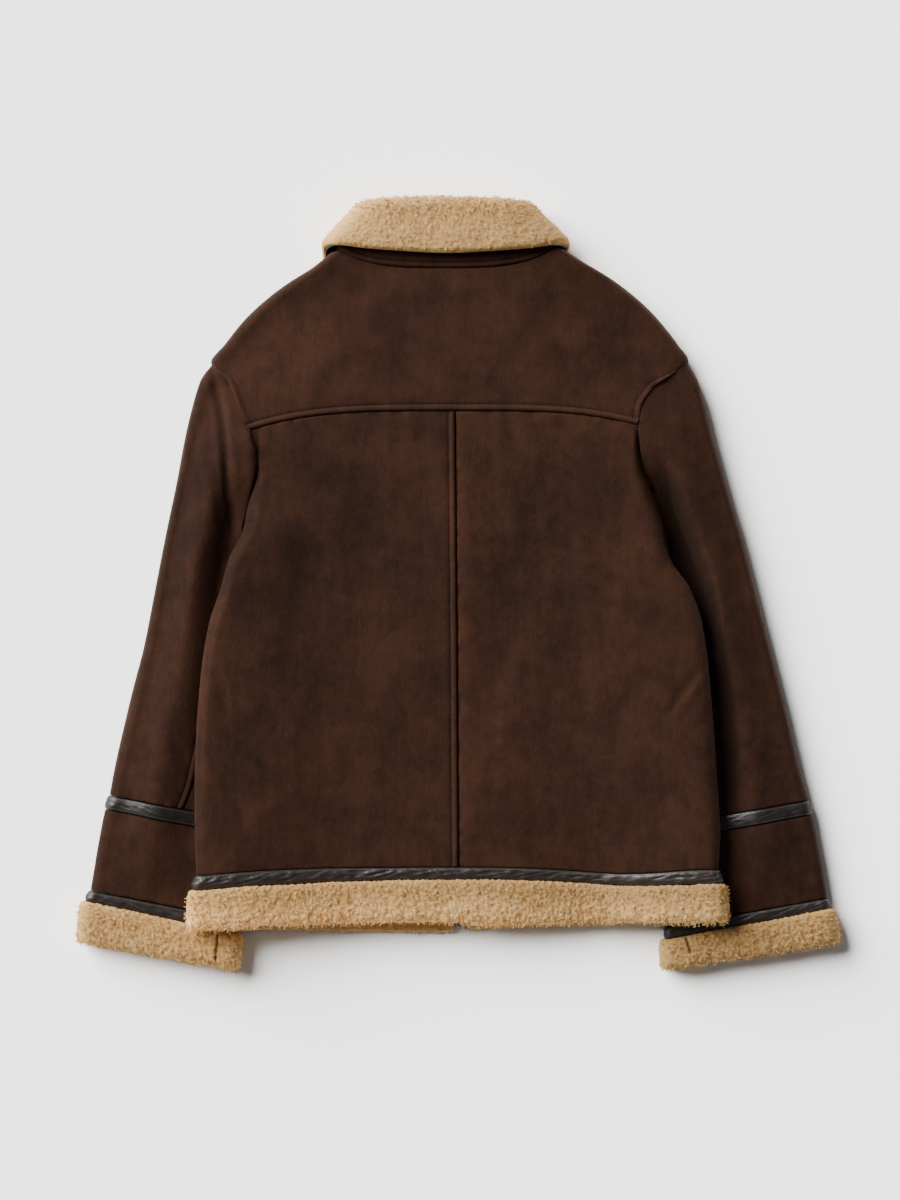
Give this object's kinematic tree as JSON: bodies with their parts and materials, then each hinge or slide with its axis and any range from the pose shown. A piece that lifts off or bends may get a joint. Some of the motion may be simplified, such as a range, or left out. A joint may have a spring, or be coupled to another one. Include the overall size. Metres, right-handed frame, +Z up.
{
  "type": "shearling jacket",
  "caption": "Suede shearling jacket lying face down, sleeves out, with fleece collar, hem and cuffs and narrow leather strips",
  "frame": {"origin": "middle of the outline, on the surface the jacket lies on", "axes": "+Z up, away from the surface; +Y from the hem to the collar; +X towards the wearer's right sleeve, which is on the right when looking down on the back"},
  "size_m": [0.7866, 0.7946, 0.053],
  "materials": {
    "suede": "dark brown suede, matt with a short nap",
    "leather": "near-black smooth leather, finely wrinkled, half gloss",
    "fleece": "tan curly fleece, matt",
    "zip_tape": "dark woven tape",
    "zip_metal": "dark burnished metal"
  },
  "bodies": {
    "root": {"back_yoke": "suede", "back_left": "suede", "back_right": "suede", "front_left": "suede", "front_right": "suede", "sleeve_top_left": "suede", "sleeve_top_right": "suede", "sleeve_under_left": "suede", "sleeve_under_right": "suede", "sleeve_lower_left": "suede", "sleeve_lower_right": "suede", "collar_stand": "suede", "strap_left": "leather", "strap_right": "leather", "cuff_strip_left": "leather", "cuff_strip_right": "leather", "hem_strip_back": "leather", "hem_strip_front_left": "leather", "hem_strip_front_right": "leather", "collar_under": "leather", "cuff_fleece_left": "fleece", "cuff_fleece_right": "fleece", "hem_fleece_back": "fleece", "hem_fleece_front_left": "fleece", "hem_fleece_front_right": "fleece", "collar_fleece": "fleece", "zip_tape_left": "zip_tape", "zip_tape_right": "zip_tape", "zip_teeth": "zip_metal", "zip_slider": "zip_metal", "zip_box": "zip_metal"}
  },
  "joints": []
}
